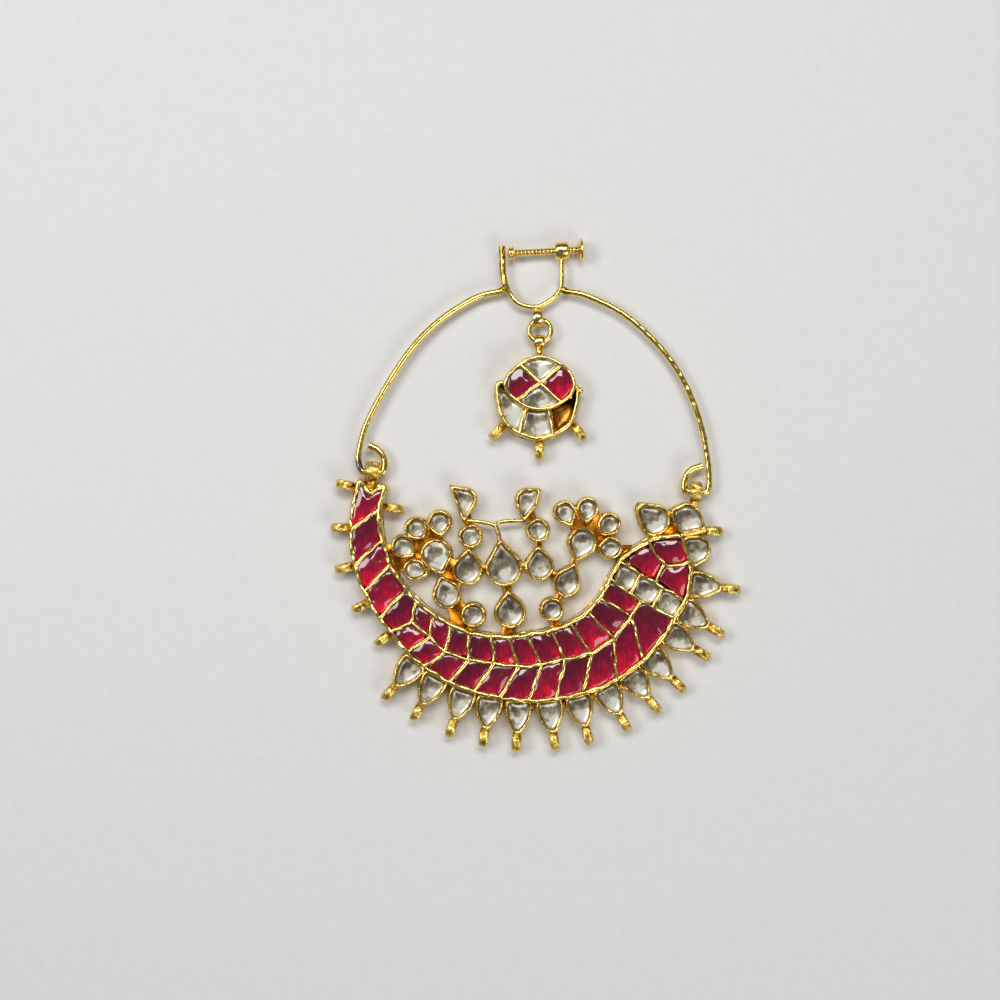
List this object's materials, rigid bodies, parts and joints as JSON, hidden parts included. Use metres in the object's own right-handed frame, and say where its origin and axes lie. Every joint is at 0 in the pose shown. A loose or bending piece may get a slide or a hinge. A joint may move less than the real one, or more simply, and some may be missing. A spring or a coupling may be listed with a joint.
{
  "type": "nose ring with screw clip",
  "caption": "Large nose ring: a wire hoop with a screw clip, a small pendant and a swinging crescent of box-set red and white stones.",
  "frame": {"origin": "on the crescent's flat back, in the middle of its lowest stretch", "axes": "+Y towards the screw clip, +Z out of the stones, +X across the jewel to its broad head"},
  "size_m": [0.0672, 0.0849, 0.0043],
  "materials": {
    "gold": "hammered and polished yellow gold",
    "ruby": "polished deep red stone over foil",
    "white_stone": "polished clear flat stone over silver foil"
  },
  "bodies": {
    "hoop": {"hoop_clip": "gold", "jump_ring": "gold", "pendant_setting": "gold", "pendant_white_top": "white_stone", "pendant_white_bottom": "white_stone", "pendant_ruby_left": "ruby", "pendant_ruby_right": "ruby", "pendant_white_left": "white_stone", "pendant_white_middle": "white_stone"},
    "crescent": {"crescent_setting": "gold", "ruby_tail_1": "ruby", "ruby_tail_2": "ruby", "ruby_tail_3": "ruby", "ruby_tail_4": "ruby", "ruby_tail_5": "ruby", "ruby_inner_1": "ruby", "ruby_inner_2": "ruby", "ruby_inner_3": "ruby", "ruby_inner_4": "ruby", "ruby_inner_5": "ruby", "ruby_inner_6": "ruby", "ruby_inner_7": "ruby", "ruby_inner_8": "ruby", "ruby_inner_9": "ruby", "ruby_inner_10": "ruby", "ruby_inner_11": "ruby", "ruby_outer_1": "ruby", "ruby_outer_2": "ruby", "ruby_outer_3": "ruby", "ruby_outer_4": "ruby", "ruby_outer_5": "ruby", "ruby_outer_6": "ruby", "ruby_outer_7": "ruby", "ruby_outer_8": "ruby", "ruby_outer_9": "ruby", "ruby_outer_10": "ruby", "ruby_outer_11": "ruby", "ruby_head_top": "ruby", "ruby_head_inner": "ruby", "ruby_head_outer": "ruby", "white_band_1": "white_stone", "white_band_2": "white_stone", "white_band_3": "white_stone"},
    "screw": {"clip_screw": "gold", "clip_pad": "gold"}
  },
  "joints": [
    {"name": "crescent_swing", "type": "hinge", "parent": "hoop", "child": "crescent", "pos_m": [0.00183, 0.0307, 0.0019], "axis": [0.9981, -0.0613, 0], "range_deg": [-85, 85]},
    {"name": "clip_screw_travel", "type": "slide", "parent": "hoop", "child": "screw", "axis": [0.9987, 0.0506, 0], "range_m": [0, 0.006]}
  ]
}
